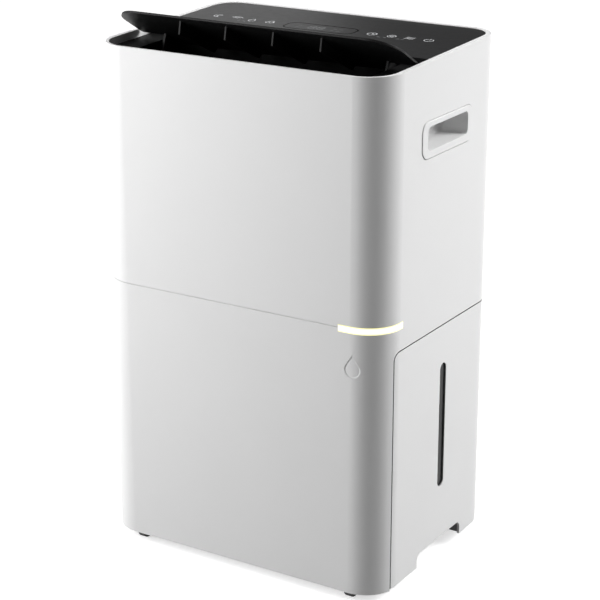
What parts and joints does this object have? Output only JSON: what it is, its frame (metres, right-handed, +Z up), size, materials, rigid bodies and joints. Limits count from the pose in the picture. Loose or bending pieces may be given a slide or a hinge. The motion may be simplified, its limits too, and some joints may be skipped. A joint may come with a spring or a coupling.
{
  "type": "dehumidifier",
  "caption": "Portable upright dehumidifier with a tilting top louver, touch panel, side-loading water tank, rear intake filter and swivel casters",
  "frame": {"origin": "on the floor under the middle of the body's width and depth, at the casters' lowest point", "axes": "+Z up, front cover towards -Y, water tank on the +X side"},
  "size_m": [0.38, 0.268, 0.641],
  "materials": {
    "white_plastic": "fine matte texture",
    "light_guide": "frosted, lit from behind",
    "black_plastic": "fine matte texture",
    "louver_black": "satin",
    "panel_gloss": "smooth gloss",
    "tank_smoke": "satin translucent grey",
    "window_smoke": "smoked clear plastic",
    "grey_plastic": "matte",
    "caster_black": "satin",
    "caster_tread": "smooth",
    "rubber": "matte",
    "filter_net": "woven nylon net",
    "zinc_steel": "zinc plated",
    "fin_aluminium": "mill finish",
    "black_enamel": "enamel",
    "copper": "drawn tube",
    "circuit_board": "solder mask"
  },
  "bodies": {
    "housing": {"front_cover": "white_plastic", "rear_cover": "white_plastic", "handle_cup_right": "white_plastic", "handle_cup_left": "white_plastic", "light_strip": "light_guide", "light_board": "circuit_board", "cover_screws": "zinc_steel", "drain_port": "black_plastic", "cord_gland": "rubber", "top_deck": "black_plastic", "control_panel": "panel_gloss", "control_board": "circuit_board", "outlet_guard": "black_plastic", "louver_motor": "zinc_steel", "base_tray": "grey_plastic", "tank_bay_liner": "grey_plastic", "drip_tray": "grey_plastic", "evaporator": "fin_aluminium", "condenser": "fin_aluminium", "compressor": "black_enamel", "rubber_feet": "rubber", "terminal_cover": "black_plastic", "accumulator": "black_enamel", "discharge_pipe": "copper", "suction_pipe": "copper", "filter_drier": "copper", "capillary_tube": "copper", "fan_housing": "grey_plastic", "fan_motor": "zinc_steel", "outlet_plenum": "grey_plastic", "electronics_box": "grey_plastic", "electronics_cover": "zinc_steel", "main_board": "circuit_board", "run_capacitor": "black_plastic", "humidity_sensor": "circuit_board", "tank_switch": "black_plastic"},
    "louver": {"louver": "louver_black"},
    "tank": {"tank_bucket": "tank_smoke", "tank_door": "white_plastic", "level_window": "window_smoke", "tank_lid": "grey_plastic"},
    "tank_bail": {"tank_handle": "grey_plastic"},
    "float": {"tank_float": "grey_plastic"},
    "filter": {"intake_grille": "white_plastic", "filter_mesh": "filter_net"},
    "drain_plug": {"drain_cap": "rubber"},
    "blower": {"blower_wheel": "black_plastic"},
    "fork_front_left": {"caster_fork_front_left": "caster_black", "caster_axle_front_left": "zinc_steel"},
    "wheel_front_left": {"caster_wheel_front_left": "caster_tread"},
    "fork_front_right": {"caster_fork_front_right": "caster_black", "caster_axle_front_right": "zinc_steel"},
    "wheel_front_right": {"caster_wheel_front_right": "caster_tread"},
    "fork_rear_left": {"caster_fork_rear_left": "caster_black", "caster_axle_rear_left": "zinc_steel"},
    "wheel_rear_left": {"caster_wheel_rear_left": "caster_tread"},
    "fork_rear_right": {"caster_fork_rear_right": "caster_black", "caster_axle_rear_right": "zinc_steel"},
    "wheel_rear_right": {"caster_wheel_rear_right": "caster_tread"}
  },
  "joints": [
    {"name": "louver_tilt", "type": "hinge", "parent": "housing", "child": "louver", "pos_m": [0, -0.056, 0.58], "axis": [-1, 0, 0], "range_deg": [-32, 14]},
    {"name": "tank_slide", "type": "slide", "parent": "housing", "child": "tank", "axis": [1, 0, 0], "range_m": [0, 0.22]},
    {"name": "bail_lift", "type": "hinge", "parent": "tank", "child": "tank_bail", "pos_m": [0.102, 0, 0.283], "axis": [-1, 0, 0], "range_deg": [0, 8]},
    {"name": "float_lift", "type": "hinge", "parent": "tank", "child": "float", "pos_m": [0.145, 0.03, 0.266], "axis": [-1, 0, 0], "range_deg": [0, 14]},
    {"name": "filter_pull", "type": "slide", "parent": "housing", "child": "filter", "axis": [0, 1, 0], "range_m": [0, 0.12]},
    {"name": "drain_cap_pull", "type": "slide", "parent": "housing", "child": "drain_plug", "axis": [0, 1, 0], "range_m": [0, 0.04]},
    {"name": "blower_spin", "type": "hinge", "parent": "housing", "child": "blower", "pos_m": [-0.015, -0.061, 0.44], "axis": [0, 1, 0], "continuous": true},
    {"name": "caster_swivel_front_left", "type": "hinge", "parent": "housing", "child": "fork_front_left", "pos_m": [-0.145, -0.107, 0.038], "axis": [0, 0, 1], "continuous": true},
    {"name": "caster_roll_front_left", "type": "hinge", "parent": "fork_front_left", "child": "wheel_front_left", "pos_m": [-0.145, -0.116, 0.013], "axis": [1, 0, 0], "continuous": true},
    {"name": "caster_swivel_front_right", "type": "hinge", "parent": "housing", "child": "fork_front_right", "pos_m": [0.145, -0.107, 0.038], "axis": [0, 0, 1], "continuous": true},
    {"name": "caster_roll_front_right", "type": "hinge", "parent": "fork_front_right", "child": "wheel_front_right", "pos_m": [0.145, -0.116, 0.013], "axis": [1, 0, 0], "continuous": true},
    {"name": "caster_swivel_rear_left", "type": "hinge", "parent": "housing", "child": "fork_rear_left", "pos_m": [-0.145, 0.098, 0.038], "axis": [0, 0, 1], "continuous": true},
    {"name": "caster_roll_rear_left", "type": "hinge", "parent": "fork_rear_left", "child": "wheel_rear_left", "pos_m": [-0.145, 0.089, 0.013], "axis": [1, 0, 0], "continuous": true},
    {"name": "caster_swivel_rear_right", "type": "hinge", "parent": "housing", "child": "fork_rear_right", "pos_m": [0.145, 0.098, 0.038], "axis": [0, 0, 1], "continuous": true},
    {"name": "caster_roll_rear_right", "type": "hinge", "parent": "fork_rear_right", "child": "wheel_rear_right", "pos_m": [0.145, 0.089, 0.013], "axis": [1, 0, 0], "continuous": true}
  ]
}
